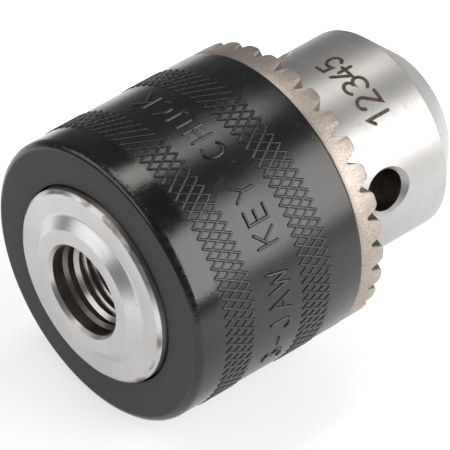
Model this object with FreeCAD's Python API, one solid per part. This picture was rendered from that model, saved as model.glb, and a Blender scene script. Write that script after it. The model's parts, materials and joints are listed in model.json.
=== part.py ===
import FreeCAD, Part
import math
import os

# Keyed drill chuck, 13 mm capacity, for a 1/2-20 UNF drill spindle.
# The spin axis lies along X with the nose towards +X, and +Z is up.
# The origin is on the axis where the spindle thread starts. Every length is in millimetres.

Vector = FreeCAD.Vector
ORIGIN = Vector(0, 0, 0)
SPIN_AXIS = Vector(1, 0, 0)

# Chuck body: hub, spindle thread, flange, nut groove and nose
seat_x = -2.9
seat_radius = 9.35
boss_base_radius = 11.1
hub_face_x = -1.5
hub_radius = 14.55
hub_chamfer = 0.5
mouth_radius = 7.2
mouth_depth = 0.6
counterbore_radius = 6.8
counterbore_end_x = -0.55
thread_radius = 6.35
thread_length = 15.0
screw_hole_radius = 3.2
tool_bore_radius = 6.8
tool_bore_start_x = 20.0
flange_radius = 18.4
flange_rear_x = 10.2
flange_front_x = 21.8
race_core_radius = 15.6
race_core_end_x = 24.9
groove_gap = 0.15
nose_start_x = 31.5
nose_radius = 15.1
nose_cone_x = 50.7
nose_face_x = 56.2
nose_face_radius = 9.75
edge_break = 0.3

# Key pilot holes, midway between the jaws
key_angle = 167.0
key_x = 40.0
key_hole_radius = 3.1
key_hole_floor = 8.6
key_mouth_radius = 3.5

# Jaws, drawn fully open, and their bores
jaw_count = 3
jaw_angle = 13.0
jaw_radius = 3.1
jaw_bore_radius = 3.15
jaw_tip_x = 56.0
jaw_tip_centre = 4.6
jaw_rear_x = 3.6
jaw_bore_rear_x = 2.4
jaw_rear_relief = 19.7
open_shank_radius = 6.5
jaw_land_half_width = 0.6

# Thread between the nut and the jaws, measured along the jaws' outer line
thread_pitch = 2.4
tooth_depth = 0.8
crest_gap = 0.1
flank_gap = 0.125
groove_floor_width = 0.85
flank_growth = 0.78

# Split nut and caged ball race behind it
nut_rear_x = 25.2
nut_front_x = 31.4
nut_radius = 18.7
nut_kerf = 0.1
ball_radius = 1.0
ball_circle = 17.0
ball_count = 18
race_gap = 0.01
washer_bore = 15.7
cage_bore = 15.68
cage_radius = 18.35
cage_thickness = 1.2
cage_pocket_gap = 0.05

# Toothed sleeve
sleeve_rear_x = 14.0
sleeve_radius = 20.0
gear_shoulder_x = 29.3
gear_radius = 21.05
sleeve_bearing_radius = 15.15
gear_teeth = 31
gear_first_gap = 92.25
gear_tip_x = 33.4
gear_root_x = 31.3
gear_flank_angle = 22.0
gear_crest_round = 0.9
gear_root_round = 0.3

# Moulded grip cover
cover_radius = 21.15
knurl_height = 0.2
cover_rear_x = -0.3
cover_wall = 1.8
cover_bore = 14.8
cover_rear_round = 1.3
cover_front_round = 0.45
knurl_bands = ((4.8, 9.95), (18.55, 23.65))


def profile_face(corners):
    """Face in the X-Z plane from (x, radius, rounding) corners, each rounded by a tangent arc."""
    points = [Vector(x, 0, z) for x, z, rounding in corners]
    pieces = []
    for index, (x, z, rounding) in enumerate(corners):
        here = points[index]
        if rounding == 0:
            pieces.append((here, None, here))
            continue
        back = (points[index - 1] - here).normalize()
        ahead = (points[(index + 1) % len(points)] - here).normalize()
        half_angle = back.getAngle(ahead) / 2
        setback = rounding / math.tan(half_angle)
        reach = rounding / math.sin(half_angle) - rounding
        middle = here + (back + ahead).normalize() * reach
        pieces.append((here + back * setback, middle, here + ahead * setback))
    edges = []
    for index, (start, middle, end) in enumerate(pieces):
        if middle is not None:
            edges.append(Part.Arc(start, middle, end).toShape())
        following = pieces[(index + 1) % len(pieces)][0]
        edges.append(Part.LineSegment(end, following).toShape())
    return Part.Face(Part.Wire(edges))


def turned(corners):
    """Solid of revolution about the spin axis."""
    return profile_face(corners).revolve(ORIGIN, SPIN_AXIS, 360)


def tube(start_x, end_x, inner_radius, outer_radius):
    return turned([
        (start_x, inner_radius, 0),
        (start_x, outer_radius, 0),
        (end_x, outer_radius, 0),
        (end_x, inner_radius, 0),
    ])


def turn_about_axis(shape, degrees):
    """Copy of a shape drawn at the top (+Z), turned so that it lies at this angle from +Y."""
    copy = shape.copy()
    copy.rotate(ORIGIN, SPIN_AXIS, degrees - 90)
    return copy


def jaw_position(index):
    """Angle of a jaw from +Y towards +Z, midway between two key holes."""
    return (key_angle + 60 + 360 / jaw_count * index) % 360


def key_position(index):
    return (key_angle + 360 / jaw_count * index) % 360


# Directions of the jaw drawn at the top: along its own axis towards the tip, and square to it
slope = math.radians(jaw_angle)
jaw_direction = Vector(math.cos(slope), 0, -math.sin(slope))
jaw_normal = Vector(math.sin(slope), 0, math.cos(slope))


def jaw_centre(x):
    """Distance of a jaw's axis from the spin axis at this station."""
    return jaw_tip_centre + (jaw_tip_x - x) * math.tan(slope)


def jaw_outer(x):
    """Distance of a jaw's outer line from the spin axis at this station."""
    return jaw_centre(x) + jaw_radius / math.cos(slope)


def nut_crest(x):
    """Radius of the nut's conical bore, over the crests of its thread."""
    return jaw_outer(x) - tooth_depth / math.cos(slope)


def inclined_cylinder(radius, start_x, end_x):
    start = Vector(start_x, 0, jaw_centre(start_x))
    return Part.makeCylinder(radius, (end_x - start_x) / math.cos(slope), start, jaw_direction)


def trapezoid(origin, low, high, low_width, high_width):
    """Thread section at a point of the jaws' outer line: heights are square to that line."""
    corners = []
    for height, half_width in (
        (low, -low_width / 2),
        (low, low_width / 2),
        (high, high_width / 2),
        (high, -high_width / 2),
    ):
        corners.append(origin + jaw_normal * height + jaw_direction * half_width)
    return Part.makePolygon(corners + corners[:1])


nut_middle_x = (nut_rear_x + nut_front_x) / 2
axial_pitch = thread_pitch * math.cos(slope)


def groove_width(height):
    """Width of the nut's thread groove at this height above the jaws' outer line."""
    return groove_floor_width + flank_growth * (crest_gap - height)


def build_body():
    groove_rear = nut_crest(race_core_end_x) - groove_gap
    groove_front = nut_crest(nose_start_x) - groove_gap
    mouth_x = seat_x + mouth_depth
    body = turned([
        (seat_x, mouth_radius, 0),
        (seat_x, seat_radius, 0.15),
        (hub_face_x, boss_base_radius, 0.2),
        (hub_face_x, hub_radius - hub_chamfer, 0),
        (hub_face_x + hub_chamfer, hub_radius, 0),
        (flange_rear_x - flange_radius + hub_radius, hub_radius, 0.5),
        (flange_rear_x, flange_radius, edge_break),
        (flange_front_x, flange_radius, edge_break),
        (flange_front_x, race_core_radius, 0),
        (race_core_end_x, race_core_radius, 0),
        (race_core_end_x, groove_rear, 0.3),
        (nose_start_x, groove_front, 0.3),
        (nose_start_x, nose_radius, 0),
        (nose_cone_x, nose_radius, 0.4),
        (nose_face_x, nose_face_radius, edge_break),
        (nose_face_x, tool_bore_radius + edge_break, 0),
        (nose_face_x - edge_break, tool_bore_radius, 0),
        (tool_bore_start_x, tool_bore_radius, 0),
        (tool_bore_start_x, screw_hole_radius, 0),
        (thread_length, screw_hole_radius, 0),
        (thread_length, thread_radius, 0),
        (0, thread_radius, 0),
        (counterbore_end_x, counterbore_radius, 0),
        (mouth_x, counterbore_radius, 0),
    ])
    bore = inclined_cylinder(jaw_bore_radius, jaw_bore_rear_x, nose_face_x + jaw_bore_radius)
    key_hole = Part.makeCylinder(
        key_hole_radius, nose_radius, Vector(key_x, 0, key_hole_floor), Vector(0, 0, 1))
    chamfer_depth = key_mouth_radius - key_hole_radius
    mouth_height = math.sqrt(nose_radius ** 2 - key_mouth_radius ** 2)
    flare = 2 * (nose_radius - mouth_height)
    key_mouth = Part.makeCone(
        key_hole_radius,
        key_mouth_radius + flare,
        chamfer_depth + flare,
        Vector(key_x, 0, mouth_height - chamfer_depth),
        Vector(0, 0, 1),
    )
    cutters = []
    for index in range(jaw_count):
        cutters.append(turn_about_axis(bore, jaw_position(index)))
        cutters.append(turn_about_axis(key_hole.fuse(key_mouth), key_position(index)))
    return body.cut(cutters)


def build_jaw(index):
    """One jaw at the top, with its thread cut for its own place around the nut."""
    jaw = inclined_cylinder(jaw_radius, jaw_bore_rear_x - jaw_radius, jaw_tip_x + jaw_radius)
    far = sleeve_radius + jaw_radius
    spread = jaw_land_half_width + (far - open_shank_radius) * math.tan(math.radians(60))
    wedge = Part.makePolygon([
        Vector(jaw_rear_x, -jaw_land_half_width, open_shank_radius),
        Vector(jaw_rear_x, jaw_land_half_width, open_shank_radius),
        Vector(jaw_rear_x, spread, far),
        Vector(jaw_rear_x, -spread, far),
        Vector(jaw_rear_x, -jaw_land_half_width, open_shank_radius),
    ])
    jaw = jaw.common(Part.Face(wedge).extrude(SPIN_AXIS * (jaw_tip_x - jaw_rear_x)))
    jaw = jaw.common(Part.makeCylinder(jaw_rear_relief, jaw_tip_x, ORIGIN, SPIN_AXIS))

    # The nut's ridge stands half a pitch ahead of its groove, and the helix shifts it by angle.
    turns = (jaw_position(index) - 90) / 360 + 0.5
    start = Vector(nut_middle_x, 0, jaw_outer(nut_middle_x)) + jaw_direction * (turns * thread_pitch)
    low = -tooth_depth - crest_gap
    high = 0.6
    low_width = thread_pitch - groove_width(low) + 2 * flank_gap
    high_width = thread_pitch - groove_width(high) + 2 * flank_gap
    section = Part.Face(trapezoid(start, low, high, low_width, high_width))
    ring = section.revolve(ORIGIN, SPIN_AXIS, 360)
    rings = []
    first = math.floor((start.x - nut_front_x - low_width) / axial_pitch)
    last = math.ceil((start.x - jaw_rear_x) / axial_pitch)
    for step in range(first, last + 1):
        copy = ring.copy()
        copy.translate(jaw_direction * (-step * thread_pitch))
        rings.append(copy)
    return jaw.cut(rings)


def build_nut():
    """Both halves of the nut: a ring with a conical right-hand thread, split across a diameter."""
    blank = turned([
        (nut_rear_x, nut_crest(nut_rear_x), 0),
        (nut_rear_x, nut_radius, edge_break),
        (nut_front_x, nut_radius, edge_break),
        (nut_front_x, nut_crest(nut_front_x), 0),
    ])
    helix_turns = 4
    start_x = nut_middle_x + helix_turns / 2 * axial_pitch
    path = Part.makeLongHelix(axial_pitch, helix_turns * axial_pitch, jaw_outer(start_x), jaw_angle)
    path.rotate(ORIGIN, Vector(0, 1, 0), -90)
    path.translate(Vector(start_x, 0, 0))
    low = -tooth_depth - 0.5
    section = trapezoid(
        Vector(start_x, 0, jaw_outer(start_x)), low, crest_gap, groove_width(low), groove_floor_width)
    sweep = Part.BRepOffsetAPI.MakePipeShell(Part.Wire(path.Edges))
    sweep.setBiNormalMode(SPIN_AXIS)
    sweep.add(section)
    sweep.build()
    sweep.makeSolid()
    nut = blank.cut(sweep.shape())
    halves = []
    for side in (1, -1):
        depth = nut_radius + 1
        half_space = Part.makeBox(
            nut_front_x, 2 * depth, depth, Vector(nut_rear_x - 1, -depth, nut_kerf / 2))
        if side < 0:
            half_space.rotate(ORIGIN, SPIN_AXIS, 180)
        halves.append(nut.common(half_space))
    return halves


def gear_gap_wire(radius):
    """Outline of one tooth gap at this radius. All gaps taper towards the key's axis."""
    angle = math.radians(gear_flank_angle)
    height = gear_tip_x - gear_root_x
    fall = gear_crest_round * (1 - math.sin(angle))
    rise = gear_root_round * (1 - math.sin(angle))
    flank = (height - fall - rise) * math.tan(angle)
    root_side = gear_root_round * math.cos(angle)
    crest_side = root_side + flank
    crest_centre = crest_side + gear_crest_round * math.cos(angle)
    middle_turn = math.radians((90 + gear_flank_angle) / 2)
    shoulder = (
        crest_centre - gear_crest_round * math.cos(middle_turn),
        height - gear_crest_round * (1 - math.sin(middle_turn)),
    )
    above = height + gear_crest_round
    scale = radius / gear_radius

    def place(across, up):
        x = key_x - (key_x - gear_root_x - up) * scale
        return Vector(x, across * scale, radius)

    def arc(start, middle, end):
        return Part.Arc(place(*start), place(*middle), place(*end)).toShape()

    def line(start, end):
        return Part.LineSegment(place(*start), place(*end)).toShape()

    return Part.Wire([
        arc((-crest_centre, height), (-shoulder[0], shoulder[1]), (-crest_side, height - fall)),
        line((-crest_side, height - fall), (-root_side, rise)),
        arc((-root_side, rise), (0, 0), (root_side, rise)),
        line((root_side, rise), (crest_side, height - fall)),
        arc((crest_side, height - fall), shoulder, (crest_centre, height)),
        line((crest_centre, height), (crest_centre, above)),
        line((crest_centre, above), (-crest_centre, above)),
        line((-crest_centre, above), (-crest_centre, height)),
    ])


def build_sleeve():
    tip_slope = (key_x - gear_tip_x) / gear_radius
    blank = turned([
        (sleeve_rear_x, nut_radius, 0.2),
        (sleeve_rear_x, sleeve_radius, edge_break),
        (gear_shoulder_x, sleeve_radius, 0),
        (gear_shoulder_x, gear_radius, 0.15),
        (gear_tip_x, gear_radius, 0.15),
        (key_x - tip_slope * sleeve_bearing_radius, sleeve_bearing_radius, 0),
        (nut_front_x, sleeve_bearing_radius, 0),
        (nut_front_x, nut_radius, 0),
    ])
    inner = gear_gap_wire(sleeve_bearing_radius - 1)
    outer = gear_gap_wire(gear_radius + 1)
    gap = Part.makeLoft([inner, outer], True, True)
    gaps = []
    for index in range(gear_teeth):
        gaps.append(turn_about_axis(gap, gear_first_gap + 360 / gear_teeth * index))
    return blank.cut(gaps)


def build_cover():
    outline = [
        (cover_rear_x, cover_bore, 0.3),
        (cover_rear_x, cover_radius, cover_rear_round),
    ]
    for start_x, end_x in knurl_bands:
        outline.append((start_x, cover_radius, 0))
        outline.append((start_x, cover_radius + knurl_height, 0))
        outline.append((end_x, cover_radius + knurl_height, 0))
        outline.append((end_x, cover_radius, 0))
    outline.append((gear_shoulder_x, cover_radius, cover_front_round))
    outline.append((gear_shoulder_x, sleeve_radius, 0))
    outline.append((cover_rear_x + cover_wall, sleeve_radius, 0.6))
    outline.append((cover_rear_x + cover_wall, cover_bore, 0))
    return turned(outline)


def build_race():
    """Rear washer, cage and balls of the thrust race."""
    ball_x = nut_rear_x - race_gap - ball_radius
    washer = tube(flange_front_x, ball_x - ball_radius - race_gap, washer_bore, flange_radius)
    cage = tube(ball_x - cage_thickness / 2, ball_x + cage_thickness / 2, cage_bore, cage_radius)
    pocket = Part.makeCylinder(
        ball_radius + cage_pocket_gap,
        2 * cage_thickness,
        Vector(ball_x - cage_thickness, 0, ball_circle),
        SPIN_AXIS,
    )
    ball = Part.makeSphere(ball_radius, Vector(ball_x, 0, ball_circle))
    pockets = []
    balls = []
    for index in range(ball_count):
        angle = 90 + 360 / ball_count * index
        pockets.append(turn_about_axis(pocket, angle))
        balls.append(turn_about_axis(ball, angle))
    return washer, cage.cut(pockets), balls


def save(name, shape):
    solids = shape.Solids
    if len(solids) != 1 or not solids[0].isValid():
        raise ValueError("%s is not one valid solid: %d" % (name, len(solids)))
    solids[0].exportStep("parts/%s.step" % name)


os.makedirs("parts", exist_ok=True)
save("chuck_body", build_body())
save("gear_sleeve", build_sleeve())
save("grip_cover", build_cover())
nut_halves = build_nut()
save("nut_half_a", nut_halves[0])
save("nut_half_b", nut_halves[1])
for jaw_index in range(jaw_count):
    placed = turn_about_axis(build_jaw(jaw_index), jaw_position(jaw_index))
    save("jaw_%d" % (jaw_index + 1), placed)
race_washer, race_cage, race_balls = build_race()
save("thrust_washer", race_washer)
save("ball_cage", race_cage)
for ball_index, race_ball in enumerate(race_balls):
    save("race_ball_%02d" % (ball_index + 1), race_ball)
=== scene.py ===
import json
import math

import bmesh
import bpy
from mathutils import Matrix, Vector


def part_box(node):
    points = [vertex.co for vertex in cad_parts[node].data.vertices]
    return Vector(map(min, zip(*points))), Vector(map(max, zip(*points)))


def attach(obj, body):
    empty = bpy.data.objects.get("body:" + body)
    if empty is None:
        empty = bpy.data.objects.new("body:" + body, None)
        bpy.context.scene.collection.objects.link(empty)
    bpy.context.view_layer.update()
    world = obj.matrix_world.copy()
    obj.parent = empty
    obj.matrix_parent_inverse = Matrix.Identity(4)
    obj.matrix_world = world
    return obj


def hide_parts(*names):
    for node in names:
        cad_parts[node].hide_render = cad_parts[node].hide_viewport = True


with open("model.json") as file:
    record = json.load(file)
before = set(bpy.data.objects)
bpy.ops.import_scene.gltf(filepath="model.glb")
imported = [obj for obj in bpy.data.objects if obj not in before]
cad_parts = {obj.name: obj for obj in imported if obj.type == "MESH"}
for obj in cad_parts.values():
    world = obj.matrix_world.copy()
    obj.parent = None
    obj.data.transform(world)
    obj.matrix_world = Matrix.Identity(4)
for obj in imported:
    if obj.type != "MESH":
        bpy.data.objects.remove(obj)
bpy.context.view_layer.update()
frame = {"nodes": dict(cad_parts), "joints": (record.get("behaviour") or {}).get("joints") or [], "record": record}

MM = 0.001
SPIN_AXIS = Vector((1, 0, 0))
ORIGIN = Vector((0, 0, 0))
ROUND_SEGMENTS = 240
ARC_STEPS = 5

# Places taken from the frame
BODY_LOW, BODY_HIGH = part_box("chuck_body")
COVER_LOW, COVER_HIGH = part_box("grip_cover")
SLEEVE_LOW, SLEEVE_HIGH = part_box("gear_sleeve")
MOUNTS = {mount["name"]: mount for mount in frame["record"]["mounts"]}
SEAT_X = BODY_LOW.x
NOSE_FACE_X = BODY_HIGH.x
COVER_REAR_X = COVER_LOW.x
COVER_FRONT_X = COVER_HIGH.x
RIB_TOP_RADIUS = min(COVER_HIGH.y, COVER_HIGH.z)
THREAD_RADIUS = MOUNTS["spindle_thread"]["dims"]["r_mm"] * MM
THREAD_LENGTH = MOUNTS["spindle_thread"]["dims"]["length_mm"] * MM
SCREW_HOLE_RADIUS = MOUNTS["screw_hole"]["dims"]["r_mm"] * MM
KEY_HOLE_RADIUS = MOUNTS["key_pilot_1"]["dims"]["r_mm"] * MM
KEY_X = MOUNTS["key_pilot_1"]["pos_m"][0]
KEY_AXES = [Vector(MOUNTS["key_pilot_%d" % n]["axis"]) for n in (1, 2, 3)]
JAW_SLIDES = [Vector(joint["axis"]) for joint in frame["joints"] if joint["name"].startswith("jaw")]

# Chuck body
HUB_FACE_X = -1.5 * MM
HUB_RADIUS = 14.55 * MM
HUB_CHAMFER = 0.5 * MM
BOSS_TOP_RADIUS = 9.35 * MM
BOSS_BASE_RADIUS = 11.1 * MM
MOUTH_RADIUS = 7.2 * MM
MOUTH_DEPTH = 0.6 * MM
COUNTERBORE_RADIUS = 6.8 * MM
COUNTERBORE_END_X = -0.55 * MM
TOOL_BORE_RADIUS = 6.8 * MM
TOOL_BORE_START_X = 20.0 * MM
FLANGE_RADIUS = 18.4 * MM
FLANGE_REAR_X = 10.2 * MM
FLANGE_FRONT_X = 21.8 * MM
CORE_RADIUS = 15.6 * MM
CORE_END_X = 24.9 * MM
GROOVE_REAR_RADIUS = 13.9 * MM
GROOVE_FRONT_RADIUS = 12.4 * MM
NOSE_START_X = 31.5 * MM
NOSE_RADIUS = 15.1 * MM
NOSE_CONE_X = 50.7 * MM
NOSE_FACE_RADIUS = 9.75 * MM
EDGE_BREAK = 0.3 * MM
JAW_BORE_RADIUS = 3.15 * MM
JAW_TIP = Vector((56.0 * MM, 0, 4.6 * MM))
JAW_BORE_REAR_X = 2.4 * MM
KEY_HOLE_FLOOR = 8.6 * MM
KEY_MOUTH_RADIUS = 3.5 * MM

# Spindle thread, 20 threads to the inch
THREAD_PITCH = 1.27 * MM
THREAD_CREST_RADIUS = 5.72 * MM
THREAD_START = math.radians(80)
THREAD_STEPS_PER_TURN = 96
THREAD_HALF_FOOT = THREAD_PITCH * 0.47
THREAD_HALF_CREST = THREAD_PITCH * 0.10

# Toothed ring
SLEEVE_RADIUS = 20.0 * MM
SLEEVE_BORE = 18.7 * MM
SLEEVE_BEARING = 15.15 * MM
NUT_FRONT_X = 31.4 * MM
GEAR_RADIUS = SLEEVE_HIGH.z
GEAR_TEETH = 31
GEAR_FIRST_GAP = math.radians(92.25)
GEAR_TIP_X = 33.4 * MM
GEAR_ROOT_X = 31.3 * MM
GEAR_FLANK_ANGLE = math.radians(22)
GEAR_CREST_ROUND = 0.9 * MM
GEAR_ROOT_ROUND = 0.3 * MM
GEAR_EDGE = 0.14 * MM
GEAR_SHOULDER_EDGE = 0.2 * MM
GEAR_COLLAR = 1.0 * MM

# Grip cover, its knurl and its moulded lettering
RIB_HEIGHT = 0.2 * MM
KNURL_HEIGHT = 0.14 * MM
COVER_RADIUS = RIB_TOP_RADIUS - RIB_HEIGHT
COVER_WALL = 1.8 * MM
COVER_BORE = 14.8 * MM
COVER_REAR_ROUND = 1.3 * MM
COVER_FRONT_ROUND = 0.25 * MM
KNURL_BANDS = ((4.8 * MM, 9.95 * MM), (18.55 * MM, 23.65 * MM))
KNURL_PITCH = math.radians(4)
KNURL_PITCHES_CROSSED = 2
KNURL_CROSSING_DROP = 0.96
RIB_WIDTH = 0.44 * MM
LETTER_HEIGHT = 3.4 * MM
LETTER_TOP_X = 12.8 * MM
LETTER_START = math.radians(207)
LETTER_ADVANCE = math.radians(9.4)
LETTER_WIDTH = 0.52 * MM

# Number engraved on the nose
NUMBER_TOP_X = 41.1 * MM
NUMBER_HEIGHT = 3.7 * MM
NUMBER_ADVANCE = math.radians(10.2)
NUMBER_STROKE = 0.55 * MM
NUMBER_DEPTH = 0.05 * MM
NUMBER_FILM = 0.015 * MM
NUMBER_BEFORE_KEY_HOLE = math.radians(35)

# Floor: reaches from the origin over which its tone changes, and its tones. The near reach and gain paint a
# shadow: darker within a few centimetres of the object.
FLOOR_HALF = 4.0
FLOOR_NEAR = (0.03, 0.09)
FLOOR_NEAR_GAIN = 1.45
FLOOR_FAR = (0.10, 0.28)
FLOOR_FAR_TONE = 0.19
FLOOR_ALBEDO = 0.42
FLOOR_EMISSION = 0.66

# Lights: name, centre, direction of the width, size, radiance, colour
SOFTBOXES = (
    ("front_right", Vector((0.335, -0.45, 0.242)), Vector((0.82, 0.57, 0)), (0.50, 0.50), 5.5,
     (1, 0.985, 0.965)),
    ("overhead", Vector((0.075, 0.165, 0.70)), SPIN_AXIS, (0.85, 0.21), 5.2, (1, 0.965, 0.92)),
    ("rear_left", Vector((-0.62, 0.36, 0.30)), Vector((0.5, 0.86, 0)), (0.85, 0.34), 2.2, (1, 1, 1)),
)
WORLD_STRENGTH = 0.2

# Camera, fitted to the photograph
CAMERA_AZIMUTH = math.radians(-41.4)
CAMERA_ELEVATION = math.radians(39.84)
CAMERA_DISTANCE = 0.8198
CAMERA_AIM = Vector((0.02198, -0.0012, -0.00108))
CAMERA_SENSOR = 36
CAMERA_LENS = 476.2


# ---------------------------------------------------------------- mesh helpers

def radial(angle):
    """Unit vector square to the spin axis, at this angle from +Y towards +Z."""
    return Vector((0, math.cos(angle), math.sin(angle)))


def angle_of(direction):
    return math.atan2(direction.z, direction.y)


def rounded(corners, closed=True):
    """Outline points from (x, radius, rounding) corners, each rounded corner as a short arc."""
    points = []
    count = len(corners)
    for index, (x, r, rounding) in enumerate(corners):
        here = Vector((x, r))
        if rounding == 0 or (not closed and index in (0, count - 1)):
            points.append(here)
            continue
        back = (Vector(corners[index - 1][:2]) - here).normalized()
        ahead = (Vector(corners[(index + 1) % count][:2]) - here).normalized()
        half = back.angle(ahead) / 2
        centre = here + (back + ahead).normalized() * (rounding / math.sin(half))
        start = here + back * (rounding / math.tan(half)) - centre
        end = here + ahead * (rounding / math.tan(half)) - centre
        sweep = start.angle_signed(end)
        for step in range(ARC_STEPS + 1):
            turn = -sweep * step / ARC_STEPS
            c, s = math.cos(turn), math.sin(turn)
            points.append(centre + Vector((start.x * c - start.y * s, start.x * s + start.y * c)))
    return points


def new_object(name, bm, smooth_angle=30):
    mesh = bpy.data.meshes.new(name)
    bmesh.ops.recalc_face_normals(bm, faces=bm.faces)
    bm.to_mesh(mesh)
    bm.free()
    obj = bpy.data.objects.new(name, mesh)
    bpy.context.scene.collection.objects.link(obj)
    smooth(obj, smooth_angle)
    return obj


def smooth(obj, angle=30):
    obj.data.shade_smooth()
    obj.data.set_sharp_from_angle(angle=math.radians(angle))


def bridge_rings(bm, rings, closed_ends=False):
    """Quads between neighbouring rings of vertices. The last ring joins the first."""
    count = len(rings)
    for index in range(count if closed_ends else count - 1):
        low = rings[index]
        high = rings[(index + 1) % count]
        if len(low) == 1 and len(high) == 1:
            continue
        size = max(len(low), len(high))
        for step in range(size):
            after = (step + 1) % size
            if len(low) == 1:
                bm.faces.new((low[0], high[after], high[step]))
            elif len(high) == 1:
                bm.faces.new((low[step], low[after], high[0]))
            else:
                bm.faces.new((low[step], low[after], high[after], high[step]))


def turned(name, outline, origin=ORIGIN, axis=SPIN_AXIS, segments=ROUND_SEGMENTS, smooth_angle=30):
    """Closed solid turned about an axis. An outline point on the axis becomes a pole."""
    side = axis.orthogonal().normalized()
    other = axis.cross(side)
    bm = bmesh.new()
    rings = []
    for point in outline:
        along = origin + axis * point[0]
        if point[1] < 1e-9:
            rings.append([bm.verts.new(along)])
            continue
        ring = []
        for step in range(segments):
            turn = 2 * math.pi * step / segments
            ring.append(bm.verts.new(
                along + (side * math.cos(turn) + other * math.sin(turn)) * point[1]))
        rings.append(ring)
    bridge_rings(bm, rings, closed_ends=True)
    return new_object(name, bm, smooth_angle)


def split_runs(points, longest):
    """The same outline with long straight runs divided."""
    outline = []
    for index, point in enumerate(points):
        following = points[(index + 1) % len(points)]
        pieces = max(1, math.ceil((following - point).length / longest))
        for piece in range(pieces):
            outline.append(point.lerp(following, piece / pieces))
    return outline


def cut(obj, cutters, smooth_angle=30):
    """Subtracts the cutters from obj for good, one after the other, and removes them."""
    for cutter in cutters:
        modifier = obj.modifiers.new("cut", "BOOLEAN")
        modifier.operation = "DIFFERENCE"
        modifier.solver = "EXACT"
        modifier.material_mode = "TRANSFER"
        modifier.object = cutter
        graph = bpy.context.evaluated_depsgraph_get()
        result = bpy.data.meshes.new_from_object(obj.evaluated_get(graph))
        obj.modifiers.clear()
        obj.data = result
        bpy.data.objects.remove(cutter)
    smooth(obj, smooth_angle)


# ---------------------------------------------------------------- strokes on a cylinder

def arc_points(x, y, width, height, start, end, steps=10):
    """Points of an elliptical arc, in degrees, for a letter on a unit grid."""
    points = []
    for step in range(steps + 1):
        turn = math.radians(start + (end - start) * step / steps)
        points.append((x + width * math.cos(turn), y + height * math.sin(turn)))
    return points


GLYPHS = {
    "3": [arc_points(0.29, 0.76, 0.27, 0.24, 150, -80) + arc_points(0.28, 0.28, 0.31, 0.28, 75, -150)],
    "-": [[(0.05, 0.45), (0.5, 0.45)]],
    "J": [[(0.48, 1), (0.48, 0.27)] + arc_points(0.24, 0.27, 0.24, 0.27, -10, -170)],
    "A": [[(0, 0), (0.36, 1), (0.72, 0)], [(0.13, 0.34), (0.59, 0.34)]],
    "W": [[(0, 1), (0.22, 0), (0.44, 0.8), (0.66, 0), (0.88, 1)]],
    "K": [[(0, 0), (0, 1)], [(0.6, 1), (0, 0.42)], [(0.2, 0.6), (0.62, 0)]],
    "E": [[(0.56, 1), (0, 1), (0, 0), (0.56, 0)], [(0, 0.52), (0.48, 0.52)]],
    "Y": [[(0, 1), (0.34, 0.5), (0.68, 1)], [(0.34, 0.5), (0.34, 0)]],
    "C": [arc_points(0.34, 0.5, 0.34, 0.5, 50, 310)],
    "H": [[(0, 0), (0, 1)], [(0.6, 0), (0.6, 1)], [(0, 0.5), (0.6, 0.5)]],
    "U": [[(0, 1), (0, 0.3)] + arc_points(0.3, 0.3, 0.3, 0.3, 190, 350) + [(0.6, 1)]],
    "1": [[(0.08, 0.78), (0.32, 1), (0.32, 0)]],
    "2": [arc_points(0.25, 0.74, 0.24, 0.26, 165, -35) + [(0, 0), (0.5, 0)]],
    "4": [[(0.4, 1), (0, 0.3), (0.54, 0.3)], [(0.4, 0.6), (0.4, 0)]],
    "5": [[(0.46, 1), (0.08, 1), (0.04, 0.58)] + arc_points(0.24, 0.32, 0.25, 0.32, 115, -145)],
    " ": [],
}


def divided(path, radius, longest):
    """Flat points along a path of (x, angle) points on a cylinder, none further apart than this."""
    corners = [Vector((x, angle * radius)) for x, angle in path]
    points = [corners[0]]
    for here, there in zip(corners, corners[1:]):
        pieces = max(1, math.ceil((there - here).length / longest))
        points += [here.lerp(there, step / pieces) for step in range(1, pieces + 1)]
    return points


def stroke(bm, path, radius, levels, longest=0.5 * MM, end_steps=4):
    """A closed rib with round ends along a path of (x, angle) points on a cylinder.

    Levels are (height over the cylinder, half width), from its foot to its top."""
    line = divided(path, radius, longest)
    count = len(line)
    normals = []
    for index, point in enumerate(line):
        ahead = line[min(index + 1, count - 1)] - line[min(index, count - 2)]
        back = line[max(index, 1)] - line[max(index - 1, 0)]
        tangent = (ahead.normalized() + back.normalized()).normalized()
        stretch = 1 / max(0.5, tangent.dot(ahead.normalized()))
        normals.append(Vector((-tangent.y, tangent.x)) * stretch)
    outline = list(zip(line, normals))
    for end, order in ((count - 1, -1), (0, 1)):
        across = normals[end].normalized() * -order
        along = Vector((across.y, -across.x))
        for step in range(1, end_steps):
            turn = math.pi * step / end_steps
            outline.append((line[end], across * math.cos(turn) + along * math.sin(turn)))
        if end:
            outline += [(line[index], -normals[index]) for index in range(count - 1, -1, -1)]
    rings = []
    for height, reach in levels:
        ring = []
        for point, normal in outline:
            place = point + normal * reach
            ring.append(bm.verts.new(
                Vector((place.x, 0, 0)) + radial(place.y / radius) * (radius + height)))
        rings.append(ring)
    bridge_rings(bm, rings)
    far = 2 * count + end_steps - 2
    for ring in (rings[0], rings[-1]):
        for index in range(count - 1):
            bm.faces.new((ring[index], ring[index + 1], ring[far - index - 1], ring[far - index]))
        bm.faces.new(ring[count - 1:count + end_steps])
        bm.faces.new(ring[far:] + ring[:1])


def moulded(width, sunk=-0.12 * MM, top=RIB_HEIGHT):
    """Levels of a moulded rib with a rounded top."""
    profile = ((0.0, 0.5), (0.55, 0.38), (0.86, 0.25), (1.0, 0.10))
    return [(sunk, width / 2)] + [(top * up, width * reach) for up, reach in profile]


def lettering(text, first_angle, top_x, size, advance, radius):
    """Stroke paths of letters around a cylinder. Their tops point to the rear, and the angle falls."""
    paths = []
    for index, letter in enumerate(text):
        start = first_angle - advance * index
        for line in GLYPHS[letter]:
            paths.append([(top_x + size * (1 - up), start - across * size / radius)
                          for across, up in line])
    return paths


# ---------------------------------------------------------------- material helpers

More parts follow.
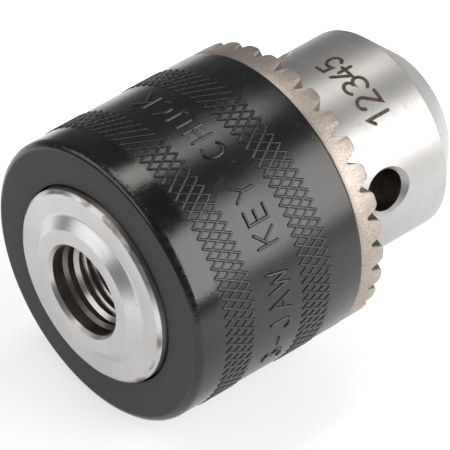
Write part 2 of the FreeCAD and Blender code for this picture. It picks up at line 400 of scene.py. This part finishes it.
class Nodes:
    """A node material under construction."""

    def __init__(self, name):
        self.material = bpy.data.materials.new(name)
        self.material.use_nodes = True
        self.tree = self.material.node_tree
        self.shader = self.tree.nodes["Principled BSDF"]

    def add(self, kind, inputs=None, **settings):
        node = self.tree.nodes.new(kind)
        for key, value in settings.items():
            setattr(node, key, value)
        for key, value in (inputs or {}).items():
            self.put(node.inputs[key], value)
        return node

    def put(self, socket, value):
        if isinstance(value, bpy.types.NodeSocket):
            self.tree.links.new(value, socket)
        else:
            socket.default_value = value

    def set(self, **inputs):
        for key, value in inputs.items():
            self.put(self.shader.inputs[key.replace("_", " ")], value)

    def math(self, operation, *values):
        node = self.add("ShaderNodeMath", operation=operation)
        for index, value in enumerate(values):
            self.put(node.inputs[index], value)
        return node.outputs[0]

    def remap(self, value, low, high, to_low=0.0, to_high=1.0, smoothed=False):
        node = self.add("ShaderNodeMapRange", {
            "Value": value, "From Min": low, "From Max": high, "To Min": to_low, "To Max": to_high})
        if smoothed:
            node.interpolation_type = "SMOOTHSTEP"
        return node.outputs["Result"]

    def noise(self, scale, detail=3.0, vector=None, roughness=0.5):
        inputs = {"Scale": scale, "Detail": detail, "Roughness": roughness}
        if vector is None:
            vector = self.position()
        inputs["Vector"] = vector
        return self.add("ShaderNodeTexNoise", inputs).outputs["Fac"]

    def position(self):
        return self.add("ShaderNodeTexCoord").outputs["Object"]

    def mix(self, factor, first, second):
        node = self.add("ShaderNodeMix", data_type="RGBA")
        self.put(node.inputs["Factor"], factor)
        self.put(node.inputs[6], first)
        self.put(node.inputs[7], second)
        return node.outputs[2]

    def bump(self, height, distance, strength=1.0, normal=None):
        inputs = {"Height": height, "Distance": distance, "Strength": strength}
        if normal is not None:
            inputs["Normal"] = normal
        return self.add("ShaderNodeBump", inputs).outputs["Normal"]

    def axis_coordinates(self):
        """Place along the spin axis, distance from it and angle round it."""
        split = self.add("ShaderNodeSeparateXYZ", {"Vector": self.position()})
        x, y, z = split.outputs
        squares = self.math("ADD", self.math("MULTIPLY", y, y), self.math("MULTIPLY", z, z))
        return x, self.math("SQRT", squares), self.math("ARCTAN2", z, y)

    def combine(self, x, y, z):
        return self.add("ShaderNodeCombineXYZ", {"X": x, "Y": y, "Z": z}).outputs["Vector"]


def grey(value, warmth=0.0):
    return (value * (1 + warmth), value, value * (1 - warmth), 1)


def turned_steel(name, shade=0.525, roughness=0.33, marks=1.0, anisotropy=0.5, warmth=0.012):
    """Turned or ground steel: fine lines run round the spin axis. The hub's edge is knocked brown."""
    m = Nodes(name)
    x, r, turn = m.axis_coordinates()
    lines = m.noise(1.0, 4.0, m.combine(
        m.math("MULTIPLY", x, 9000.0),
        m.math("MULTIPLY", r, 9000.0),
        m.math("MULTIPLY", turn, 1.2)))
    fine = m.noise(1.0, 2.0, m.combine(
        m.math("MULTIPLY", x, 30000.0),
        m.math("MULTIPLY", r, 30000.0),
        m.math("MULTIPLY", turn, 4.0)))
    cloud = m.noise(160.0, 3.0)
    speck = m.remap(m.noise(1500.0, 2.0), 0.70, 0.78)
    ground = m.remap(x, NOSE_START_X - 1 * MM, NOSE_START_X + 1 * MM)
    tone = m.remap(cloud, 0.3, 0.7, shade * 0.94, shade * 1.05)
    tone = m.math("MULTIPLY", tone, m.remap(ground, 0.0, 1.0, 1.0, 0.86))
    colour = m.add("ShaderNodeCombineColor", {
        "Red": m.math("MULTIPLY", tone, 1 + warmth),
        "Green": tone,
        "Blue": m.math("MULTIPLY", tone, 1 - warmth)}).outputs["Color"]
    colour = m.mix(m.math("MULTIPLY", speck, 0.5), colour, grey(0.12, 0.15))
    edge = m.math("MULTIPLY",
                  m.remap(r, HUB_RADIUS - HUB_CHAMFER - 0.25 * MM, HUB_RADIUS - HUB_CHAMFER + 0.1 * MM),
                  m.remap(x, HUB_FACE_X + HUB_CHAMFER, HUB_FACE_X + HUB_CHAMFER + 0.4 * MM, 1.0, 0.0))
    knocks = m.remap(m.noise(1.0, 4.0, m.combine(
        m.math("MULTIPLY", x, 500.0), m.math("MULTIPLY", r, 500.0), m.math("MULTIPLY", turn, 5.0))),
        0.50, 0.62, 0.0, 0.8)
    colour = m.mix(m.math("MULTIPLY", edge, knocks), colour, (0.16, 0.12, 0.10, 1))
    m.set(
        Base_Color=colour,
        Metallic=m.remap(ground, 0.0, 1.0, 1.0, 0.88),
        Roughness=m.math("ADD", m.remap(lines, 0.3, 0.7, roughness * 0.8, roughness * 1.2),
                         m.math("ADD", m.math("MULTIPLY", cloud, 0.06), m.math("MULTIPLY", ground, 0.13))),
        Anisotropic=anisotropy,
        Anisotropic_Rotation=0.25,
        Tangent=m.add("ShaderNodeTangent", direction_type="RADIAL", axis="X").outputs["Tangent"],
        Normal=m.bump(m.math("ADD", lines, m.math("MULTIPLY", fine, 0.5)), 0.000004 * marks, 0.5),
    )
    return m.material


def shaded_hole_steel():
    """A darker brown copy of the steel for the key holes' walls, painted shade in the holes, with the drill's
    rings.
    """
    m = Nodes("shaded_hole_steel")
    x, r, turn = m.axis_coordinates()
    rings = m.noise(1.0, 3.0, m.combine(0.0, m.math("MULTIPLY", r, 5000.0), m.math("MULTIPLY", x, 200.0)))
    cloud = m.noise(500.0, 3.0)
    m.set(
        Base_Color=m.mix(m.remap(cloud, 0.3, 0.7), (0.17, 0.148, 0.13, 1), (0.28, 0.25, 0.225, 1)),
        Metallic=1.0,
        Roughness=m.remap(rings, 0.3, 0.7, 0.26, 0.42),
        Normal=m.bump(rings, 0.00012, 0.8),
    )
    return m.material


def sintered_steel():
    """Pressed and sintered steel with random brown stains, and painted shade: faces below the ring's outer radius,
    the tooth flanks and gaps, are darkened to dark brown.
    """
    m = Nodes("sintered_steel")
    x, r, turn = m.axis_coordinates()
    # Painted shade mask: 0.74 on faces below the toothed ring's outer radius, fading to 0 at it.
    painted_gap_shade = m.remap(r, GEAR_RADIUS - 0.4 * MM, GEAR_RADIUS - 0.1 * MM, 0.74, 0.0)
    grain = m.noise(4600.0, 4.0, roughness=0.65)
    patch = m.noise(420.0, 3.0)
    stain = m.noise(90.0, 2.0)
    light = (0.415, 0.37, 0.335, 1)
    dark = (0.24, 0.20, 0.168, 1)
    base = m.mix(m.remap(grain, 0.34, 0.62), dark, light)
    base = m.mix(m.remap(patch, 0.45, 0.75, 0.0, 0.3), base, (0.50, 0.455, 0.42, 1))
    base = m.mix(m.remap(stain, 0.58, 0.75, 0.0, 0.35), base, (0.30, 0.22, 0.14, 1))
    # Painted shade: darken the tooth flanks and gaps towards dark brown.
    base = m.mix(painted_gap_shade, base, (0.075, 0.058, 0.045, 1))
    m.set(
        Base_Color=base,
        Metallic=0.8,
        Roughness=m.remap(grain, 0.3, 0.7, 0.56, 0.42),
        Normal=m.bump(m.math("ADD", grain, m.math("MULTIPLY", patch, 0.6)), 0.00003, 0.6),
    )
    return m.material


def black_plastic():
    """Satin on the moulded side, matte and paler on the flat rear face."""
    m = Nodes("black_plastic")
    x, r, turn = m.axis_coordinates()
    behind = m.remap(x, COVER_REAR_X + 0.01 * MM, COVER_REAR_X + 0.09 * MM, 1.0, 0.0, smoothed=True)
    grain = m.noise(4200.0, 3.0)
    wave = m.noise(95.0, 3.0)
    peel = m.noise(520.0, 3.0)
    scuff = m.remap(m.noise(1.0, 3.0, m.combine(
        m.math("MULTIPLY", x, 260.0), m.math("MULTIPLY", r, 260.0), m.math("MULTIPLY", turn, 9.0))),
        0.58, 0.75)
    dust = m.remap(m.noise(1900.0, 1.0), 0.72, 0.80)
    haze = m.math("MULTIPLY", scuff, m.remap(peel, 0.35, 0.7, 0.2, 0.8))
    side = m.mix(haze, grey(0.003), grey(0.012, 0.04))
    colour = m.mix(behind, side, grey(0.030))
    colour = m.mix(m.math("MULTIPLY", dust, 0.3), colour, grey(0.12, 0.06))
    polished = m.remap(x, KNURL_BANDS[0][0] - 0.6 * MM, KNURL_BANDS[0][0], -0.11, 0.0)
    side_rough = m.math("ADD", m.remap(wave, 0.3, 0.7, 0.23, 0.30), m.math("MULTIPLY", haze, 0.12))
    side_rough = m.math("ADD", side_rough, polished)
    rough = m.math("ADD", m.math("MULTIPLY", side_rough, m.math("SUBTRACT", 1.0, behind)),
                   m.math("MULTIPLY", behind, 0.72))
    rim = m.math("MULTIPLY", m.remap(x, COVER_REAR_X + 0.15 * MM, COVER_REAR_X + 0.5 * MM),
                 m.remap(x, COVER_REAR_X + 0.8 * MM, COVER_REAR_X + 1.5 * MM, 1.0, 0.0))
    worn = m.math("MULTIPLY", rim, m.remap(m.noise(1100.0, 4.0, roughness=0.7), 0.42, 0.62))
    rough = m.math("ADD", rough, m.math("MULTIPLY", worn, 0.22))
    height = m.math("ADD", wave, m.math("MULTIPLY", peel, 0.07))
    ripple = m.bump(m.math("ADD", height, m.math("MULTIPLY", worn, 0.12)), 0.0002, 0.5)
    m.set(
        Base_Color=colour,
        Roughness=rough,
        IOR=1.5,
        Normal=m.bump(grain, 0.000022, 0.6, ripple),
    )
    return m.material


def etched_brown():
    m = Nodes("etched_brown")
    mottle = m.noise(1500.0, 3.0)
    m.set(
        Base_Color=m.mix(m.remap(mottle, 0.35, 0.65), (0.030, 0.020, 0.012, 1), (0.10, 0.07, 0.045, 1)),
        Roughness=0.7,
        Metallic=0.3,
    )
    return m.material


def oiled_steel(name, shade, roughness, warmth=0.03):
    m = Nodes(name)
    cloud = m.noise(260.0, 4.0)
    scratch = m.noise(1.0, 3.0, m.add("ShaderNodeMapping", {
        "Vector": m.position(), "Scale": (300.0, 4000.0, 4000.0)}).outputs["Vector"])
    m.set(
        Base_Color=m.mix(m.remap(cloud, 0.3, 0.7), grey(shade * 0.8, warmth), grey(shade * 1.15, warmth)),
        Metallic=1.0,
        Roughness=m.remap(scratch, 0.3, 0.7, roughness * 0.75, roughness * 1.25),
        Normal=m.bump(scratch, 0.000006, 0.5),
    )
    return m.material


def cage_brass():
    m = Nodes("cage_brass")
    cloud = m.noise(400.0, 3.0)
    m.set(
        Base_Color=m.mix(cloud, (0.62, 0.42, 0.16, 1), (0.80, 0.60, 0.28, 1)),
        Metallic=1.0,
        Roughness=m.remap(cloud, 0.3, 0.7, 0.28, 0.42),
    )
    return m.material


# ---------------------------------------------------------------- pieces

def body_outline():
    """Half section of the body, out along the hub and back through the bore."""
    return rounded([
        (SEAT_X, MOUTH_RADIUS, 0.05 * MM),
        (SEAT_X, BOSS_TOP_RADIUS, 0.12 * MM),
        (HUB_FACE_X, BOSS_BASE_RADIUS, 0.9 * MM),
        (HUB_FACE_X, HUB_RADIUS - HUB_CHAMFER, 0.12 * MM),
        (HUB_FACE_X + HUB_CHAMFER, HUB_RADIUS, 0.12 * MM),
        (FLANGE_REAR_X - FLANGE_RADIUS + HUB_RADIUS, HUB_RADIUS, 0.5 * MM),
        (FLANGE_REAR_X, FLANGE_RADIUS, EDGE_BREAK),
        (FLANGE_FRONT_X, FLANGE_RADIUS, EDGE_BREAK),
        (FLANGE_FRONT_X, CORE_RADIUS, 0),
        (CORE_END_X, CORE_RADIUS, 0),
        (CORE_END_X, GROOVE_REAR_RADIUS, EDGE_BREAK),
        (NOSE_START_X, GROOVE_FRONT_RADIUS, EDGE_BREAK),
        (NOSE_START_X, NOSE_RADIUS, 0),
        (NOSE_CONE_X, NOSE_RADIUS, 0.35 * MM),
        (NOSE_FACE_X, NOSE_FACE_RADIUS, 0.25 * MM),
        (NOSE_FACE_X, TOOL_BORE_RADIUS + EDGE_BREAK, 0),
        (NOSE_FACE_X - EDGE_BREAK, TOOL_BORE_RADIUS, 0),
        (TOOL_BORE_START_X, TOOL_BORE_RADIUS, 0),
        (TOOL_BORE_START_X, SCREW_HOLE_RADIUS, 0),
        (THREAD_LENGTH, SCREW_HOLE_RADIUS, 0),
        (THREAD_LENGTH, THREAD_RADIUS, 0),
        (0, THREAD_RADIUS, 0),
        (COUNTERBORE_END_X, COUNTERBORE_RADIUS, 0),
        (SEAT_X + MOUTH_DEPTH, COUNTERBORE_RADIUS, 0.08 * MM),
    ])


def jaw_bore(slide, shaded_bore_steel):
    """Cutter along one jaw's axis."""
    outward = -(slide - SPIN_AXIS * slide.x).normalized()
    tip = SPIN_AXIS * JAW_TIP.x + outward * JAW_TIP.z
    rear = tip - slide * ((JAW_TIP.x - JAW_BORE_REAR_X) / slide.x)
    length = (NOSE_FACE_X - JAW_BORE_REAR_X) / slide.x + JAW_BORE_RADIUS
    cutter = turned("jaw_bore", [(0, 0), (0, JAW_BORE_RADIUS), (length, JAW_BORE_RADIUS), (length, 0)],
                    rear, slide, 96)
    # The jaw bore walls take the darker steel, painted shade.
    cutter.data.materials.append(shaded_bore_steel)
    return cutter


def key_hole(axis, steel, drilled):
    """Cutter for one key pilot hole, with its bright chamfered mouth."""
    mouth = math.sqrt(NOSE_RADIUS ** 2 - KEY_MOUTH_RADIUS ** 2)
    chamfer = KEY_MOUTH_RADIUS - KEY_HOLE_RADIUS
    flare = 2 * (NOSE_RADIUS - mouth)
    outline = [
        (KEY_HOLE_FLOOR, 0),
        (KEY_HOLE_FLOOR, KEY_HOLE_RADIUS),
        (mouth - chamfer, KEY_HOLE_RADIUS),
        (mouth + flare, KEY_MOUTH_RADIUS + flare),
        (mouth + flare, 0),
    ]
    cutter = turned("key_hole", outline, SPIN_AXIS * KEY_X, axis, 96)
    cutter.data.materials.append(steel)
    cutter.data.materials.append(drilled)
    # Faces inside the hole take the darker steel, painted shade; the chamfered mouth keeps the turned steel.
    for face in cutter.data.polygons:
        if (face.center - SPIN_AXIS * KEY_X).dot(axis) < mouth - chamfer:
            face.material_index = 1
    return cutter


def make_body(steel, shaded_bore_steel, drilled):
    body = turned("chuck_body_turned", split_runs(body_outline(), 3 * MM))
    body.data.materials.append(steel)
    body.data.materials.append(shaded_bore_steel)
    # Faces inside the counterbore take the darker steel, painted shade.
    for face in body.data.polygons:
        depth = face.center.x - SEAT_X - MOUTH_DEPTH
        if depth > 0.02 * MM and math.hypot(face.center.y, face.center.z) < COUNTERBORE_RADIUS + 0.02 * MM:
            face.material_index = 1
    holes = [jaw_bore(slide, shaded_bore_steel) for slide in JAW_SLIDES]
    holes += [key_hole(axis, steel, drilled) for axis in KEY_AXES]
    cut(body, holes)
    return body


def make_number():
    """The number on the nose, as a dark etched film."""
    bm = bmesh.new()
    first = angle_of(KEY_AXES[0]) - NUMBER_BEFORE_KEY_HOLE
    for path in lettering("12345", first, NUMBER_TOP_X, NUMBER_HEIGHT, NUMBER_ADVANCE, NOSE_RADIUS):
        reach = NUMBER_STROKE / 2
        stroke(bm, path, NOSE_RADIUS, ((-NUMBER_DEPTH, reach), (NUMBER_FILM, reach)))
    return new_object("nose_number", bm)


def make_spindle_thread():
    """Helical ridge that fills the bore from its wall down to the thread's crest."""
    bm = bmesh.new()
    turns = int((THREAD_LENGTH - THREAD_PITCH) / THREAD_PITCH)
    foot = THREAD_HALF_FOOT
    crest = THREAD_HALF_CREST
    inside_wall = THREAD_RADIUS + 0.1 * MM
    rings = []
    for step in range(turns * THREAD_STEPS_PER_TURN + 1):
        turn = step / THREAD_STEPS_PER_TURN
        x = THREAD_PITCH * (0.5 + turn)
        fade = min(1.0, turn * 5, (turns - turn) * 2.5)
        depth = (THREAD_RADIUS - THREAD_CREST_RADIUS) * max(fade, 0.02)
        section = (
            (x - foot, inside_wall),
            (x - foot, THREAD_RADIUS),
            (x - crest, THREAD_RADIUS - depth),
            (x + crest, THREAD_RADIUS - depth),
            (x + foot, THREAD_RADIUS),
            (x + foot, inside_wall),
        )
        direction = radial(THREAD_START + 2 * math.pi * turn)
        rings.append([bm.verts.new(Vector((px, 0, 0)) + direction * pr) for px, pr in section])
    bridge_rings(bm, rings)
    bm.faces.new(rings[0])
    bm.faces.new(rings[-1][::-1])
    return new_object("spindle_thread", bm, 35)


def tooth_profile():
    """(angle, height) points across one pitch of the toothed ring, from crest to crest."""
    height = GEAR_TIP_X - GEAR_ROOT_X
    sine, cosine = math.sin(GEAR_FLANK_ANGLE), math.cos(GEAR_FLANK_ANGLE)
    fall = GEAR_CREST_ROUND * (1 - sine)
    rise = GEAR_ROOT_ROUND * (1 - sine)
    root_side = GEAR_ROOT_ROUND * cosine
    crest_side = root_side + (height - fall - rise) * math.tan(GEAR_FLANK_ANGLE)
    crest_centre = crest_side + GEAR_CREST_ROUND * cosine
    half = []
    for step in range(5):
        turn = math.radians(-90) + (math.pi / 2 - GEAR_FLANK_ANGLE) * step / 4
        half.append((GEAR_ROOT_ROUND * math.cos(turn), GEAR_ROOT_ROUND * (1 + math.sin(turn))))
    for part in (0.33, 0.66):
        half.append((root_side + (crest_side - root_side) * part, rise + (height - fall - rise) * part))
    for step in range(8):
        turn = math.pi - GEAR_FLANK_ANGLE - (math.pi / 2 - GEAR_FLANK_ANGLE) * step / 7
        half.append((crest_centre + GEAR_CREST_ROUND * math.cos(turn),
                     height - GEAR_CREST_ROUND * (1 - math.sin(turn))))
    left = [(-across, up) for across, up in half[:0:-1]]
    return [(across / GEAR_RADIUS, up) for across, up in left + half]


def make_gear_sleeve():
    profile = tooth_profile()
    pitch = 2 * math.pi / GEAR_TEETH
    samples = []
    for tooth in range(GEAR_TEETH):
        for angle, up in profile:
            samples.append((GEAR_FIRST_GAP + tooth * pitch + angle, up))

    def toothed(radius):
        shrink = radius / GEAR_RADIUS
        return [(KEY_X - (KEY_X - GEAR_ROOT_X - up) * shrink, radius, angle) for angle, up in samples]

    def plain(x, radius):
        return [(x, radius, angle) for angle, up in samples]

    edge = GEAR_EDGE
    shoulder_edge = GEAR_SHOULDER_EDGE
    rows = [plain(SLEEVE_LOW.x + edge, SLEEVE_BORE), plain(SLEEVE_LOW.x, SLEEVE_BORE + edge)]
    rows.append(plain(SLEEVE_LOW.x, SLEEVE_RADIUS - edge))
    rows.append(plain(SLEEVE_LOW.x + edge, SLEEVE_RADIUS))
    rows.append(plain(COVER_FRONT_X, SLEEVE_RADIUS))
    rows.append(plain(COVER_FRONT_X, GEAR_RADIUS - shoulder_edge))
    rows.append(plain(COVER_FRONT_X + shoulder_edge * 0.3, GEAR_RADIUS - shoulder_edge * 0.3))
    rows.append(plain(COVER_FRONT_X + shoulder_edge, GEAR_RADIUS))
    rows.append(plain(COVER_FRONT_X + GEAR_COLLAR, GEAR_RADIUS))
    rows.append([(x - edge, GEAR_RADIUS, angle) for x, r, angle in toothed(GEAR_RADIUS)])
    rows.append([(x - edge * 0.3, GEAR_RADIUS - edge * 0.3, a) for x, r, a in toothed(GEAR_RADIUS)])
    for step in range(7):
        rows.append(toothed(GEAR_RADIUS - edge + (SLEEVE_BEARING - GEAR_RADIUS + edge) * step / 6))
    rows.append(plain(NUT_FRONT_X, SLEEVE_BEARING))
    rows.append(plain(NUT_FRONT_X, SLEEVE_BORE))
    bm = bmesh.new()
    rings = []
    for row in rows:
        rings.append([bm.verts.new(Vector((x, 0, 0)) + radial(angle) * r) for x, r, angle in row])
    bridge_rings(bm, rings, closed_ends=True)
    return new_object("gear_ring_and_sleeve", bm, 28)


def make_grip_cover():
    outline = rounded([
        (COVER_REAR_X, COVER_BORE, 0.3 * MM),
        (COVER_REAR_X, COVER_RADIUS, COVER_REAR_ROUND),
        (COVER_FRONT_X, COVER_RADIUS, COVER_FRONT_ROUND),
        (COVER_FRONT_X, SLEEVE_RADIUS, 0),
        (COVER_REAR_X + COVER_WALL, SLEEVE_RADIUS, 0.6 * MM),
        (COVER_REAR_X + COVER_WALL, COVER_BORE, 0),
    ])
    shell = turned("grip_cover_shell", split_runs(outline, 6 * MM), segments=360)
    bm = bmesh.new()
    bm.from_mesh(shell.data)
    bpy.data.objects.remove(shell)
    rise = KNURL_PITCH * KNURL_PITCHES_CROSSED
    for start_x, end_x in KNURL_BANDS:
        for index in range(round(2 * math.pi / KNURL_PITCH)):
            angle = index * KNURL_PITCH
            for lean, top in ((rise, KNURL_HEIGHT), (-rise, KNURL_HEIGHT * KNURL_CROSSING_DROP)):
                path = [(start_x + (end_x - start_x) * part, angle - lean / 2 + lean * part)
                        for part in (0.0, 0.5, 1.0)]
                stroke(bm, path, COVER_RADIUS, moulded(RIB_WIDTH, top=top), 1.0 * MM, 3)
    for path in lettering("3-JAW KEY CHUCK", LETTER_START, LETTER_TOP_X, LETTER_HEIGHT, LETTER_ADVANCE,
                          COVER_RADIUS):
        stroke(bm, path, COVER_RADIUS, moulded(LETTER_WIDTH))
    return new_object("grip_cover_moulded", bm, 32)


def place(piece, body, slot, *nodes):
    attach(piece, body)
    if nodes:
        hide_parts(*nodes)


def build_pieces():
    steel = turned_steel("turned_steel")
    # Painted shade: a much darker, browner copy of the turned steel for the counterbore and jaw bore walls.
    shaded_bore_steel = turned_steel("shaded_bore_steel", shade=0.16, roughness=0.34, marks=2.0, warmth=0.10)
    body = make_body(steel, shaded_bore_steel, shaded_hole_steel())
    place(body, "body", "turned_steel", "chuck_body")
    thread = make_spindle_thread()
    # Painted shade, milder: a darker, warmer copy of the turned steel for the thread inside the bore.
    thread.data.materials.append(turned_steel("thread_steel", shade=0.40, roughness=0.26, warmth=0.05))
    place(thread, "body", "turned_steel")
    number = make_number()
    number.data.materials.append(etched_brown())
    place(number, "body", "turned_steel")
    gear = make_gear_sleeve()
    gear.data.materials.append(sintered_steel())
    place(gear, "sleeve", "sintered_steel", "gear_sleeve")
    cover = make_grip_cover()
    cover.data.materials.append(black_plastic())
    place(cover, "sleeve", "black_plastic", "grip_cover")


def finish_cad_nodes():
    """Procedural materials for the pieces that keep their CAD shape."""
    jaw = oiled_steel("jaw_steel", 0.30, 0.32)
    nut = oiled_steel("nut_steel", 0.24, 0.38)
    race = oiled_steel("race_steel", 0.55, 0.12, 0.0)
    brass = cage_brass()
    for name, node in frame["nodes"].items():
        if name.startswith("jaw"):
            material = jaw
        elif name.startswith("nut"):
            material = nut
        elif name == "ball_cage":
            material = brass
        else:
            material = race
        node.data.materials.clear()
        node.data.materials.append(material)


# ---------------------------------------------------------------- stage, lights and camera

def make_floor():
    """Pale floor that glows as well as reflecting light, with a painted shadow: darker under the object.

    Far away it falls off to grey, which the grip's reflections need."""
    bm = bmesh.new()
    corners = [(-1, -1), (1, -1), (1, 1), (-1, 1)]
    bm.faces.new([bm.verts.new((x * FLOOR_HALF, y * FLOOR_HALF, -RIB_TOP_RADIUS)) for x, y in corners])
    floor = new_object("floor", bm)
    m = Nodes("floor_white")
    reach = m.add("ShaderNodeVectorMath", operation="LENGTH")
    m.put(reach.inputs[0], m.position())
    # Painted shadow: the floor's colour and glow rise from close under the object out to the far end of the near
    # reach.
    painted_floor_shadow = m.remap(reach.outputs["Value"], *FLOOR_NEAR, 1.0, FLOOR_NEAR_GAIN, smoothed=True)
    far = m.remap(reach.outputs["Value"], *FLOOR_FAR, 1.0, FLOOR_FAR_TONE, smoothed=True)
    bright = m.math("MULTIPLY", painted_floor_shadow, far)
    grain = m.remap(m.noise(3.0, 2.0), 0.0, 1.0, 0.98, 1.0)
    tone = m.math("MULTIPLY", bright, grain)
    shade = m.math("MULTIPLY", tone, FLOOR_ALBEDO)
    m.set(
        Base_Color=m.add("ShaderNodeCombineColor", {"Red": shade, "Green": shade, "Blue": shade}).outputs[0],
        Roughness=0.9,
        Specular_IOR_Level=0.0,
        Emission_Color=grey(1.0),
        Emission_Strength=m.math("MULTIPLY", tone, FLOOR_EMISSION),
    )
    floor.data.materials.append(m.material)


def softbox(name, centre, along, size, radiance, colour):
    """A rectangular light that faces the object, with its width along a given direction."""
    data = bpy.data.lights.new(name, "AREA")
    data.shape = "RECTANGLE"
    data.size, data.size_y = size
    data.energy = radiance * math.pi * size[0] * size[1]
    data.color = colour
    light = bpy.data.objects.new(name, data)
    bpy.context.scene.collection.objects.link(light)
    back = (centre - Vector((NOSE_FACE_X / 2, 0, 0))).normalized()
    width = (along - back * along.dot(back)).normalized()
    facing = Matrix((width, back.cross(width), back)).transposed().to_4x4()
    facing.translation = centre
    light.matrix_world = facing


def make_lights():
    """Three softboxes and a weak white world, seen through the Standard view transform."""
    for softbox_settings in SOFTBOXES:
        softbox(*softbox_settings)
    world = bpy.data.worlds.new("studio")
    world.use_nodes = True
    background = world.node_tree.nodes["Background"]
    background.inputs["Color"].default_value = (1, 1, 1, 1)
    background.inputs["Strength"].default_value = WORLD_STRENGTH
    bpy.context.scene.world = world
    bpy.context.scene.view_settings.view_transform = "Standard"


def make_camera():
    """The photograph's viewpoint, fitted to the outlines of the rear face, cover and nose."""
    azimuth, elevation = CAMERA_AZIMUTH, CAMERA_ELEVATION
    data = bpy.data.cameras.new("camera")
    data.sensor_width = CAMERA_SENSOR
    data.lens = CAMERA_LENS
    data.clip_start = 0.05
    data.clip_end = 20
    camera = bpy.data.objects.new("camera", data)
    bpy.context.scene.collection.objects.link(camera)
    back = Vector((
        math.sin(azimuth) * math.cos(elevation),
        -math.cos(azimuth) * math.cos(elevation),
        math.sin(elevation),
    ))
    camera.location = CAMERA_AIM + back * CAMERA_DISTANCE
    camera.rotation_mode = "QUATERNION"
    camera.rotation_quaternion = (-back).to_track_quat("-Z", "Y")
    bpy.context.scene.camera = camera


finish_cad_nodes()
build_pieces()
make_floor()
make_lights()
make_camera()
